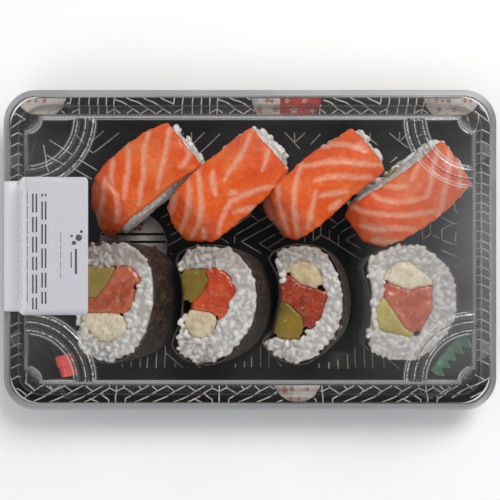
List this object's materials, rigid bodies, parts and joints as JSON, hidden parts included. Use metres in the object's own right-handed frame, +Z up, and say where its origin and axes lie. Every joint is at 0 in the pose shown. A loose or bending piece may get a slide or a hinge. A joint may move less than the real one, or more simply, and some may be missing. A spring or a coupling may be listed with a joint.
{
  "type": "takeaway sushi tray",
  "caption": "Rounded black tray with a clear press-fit lid and side label, holding salmon nigiri and thick cut rolls with salmon, avocado and cream cheese.",
  "frame": {"origin": "centre of the closed pack's bounding box, on the plane the tray stands on", "axes": "+X along the long side, away from the label; +Y from the rolls towards the nigiri; +Z up"},
  "size_m": [0.24, 0.156, 0.0506],
  "materials": {
    "tray": "satin, printed",
    "lid": "clear",
    "label": "matte",
    "rice": "moist",
    "salmon": "moist",
    "raw": "moist",
    "nori": "matte",
    "avocado": "moist",
    "cheese": "matte",
    "cap": "satin",
    "leaf": "satin"
  },
  "bodies": {
    "root": {"tray": "tray", "lid": "lid", "label": "label", "nigiri_1_rice": "rice", "nigiri_2_rice": "rice", "nigiri_3_rice": "rice", "nigiri_4_rice": "rice", "nigiri_1_salmon": "salmon", "nigiri_2_salmon": "salmon", "nigiri_3_salmon": "salmon", "nigiri_4_salmon": "salmon", "roll_1_nori": "nori", "roll_2_nori": "nori", "roll_3_nori": "nori", "roll_4_nori": "nori", "roll_1_rice": "rice", "roll_2_rice": "rice", "roll_3_rice": "rice", "roll_4_rice": "rice", "roll_1_salmon": "raw", "roll_2_salmon": "raw", "roll_3_salmon": "raw", "roll_4_salmon": "raw", "roll_1_avocado": "avocado", "roll_2_avocado": "avocado", "roll_3_avocado": "avocado", "roll_4_avocado": "avocado", "roll_1_cheese": "cheese", "roll_2_cheese": "cheese", "roll_3_cheese": "cheese", "roll_4_cheese": "cheese", "sauce_cap": "cap", "grass_leaf": "leaf"}
  },
  "joints": []
}
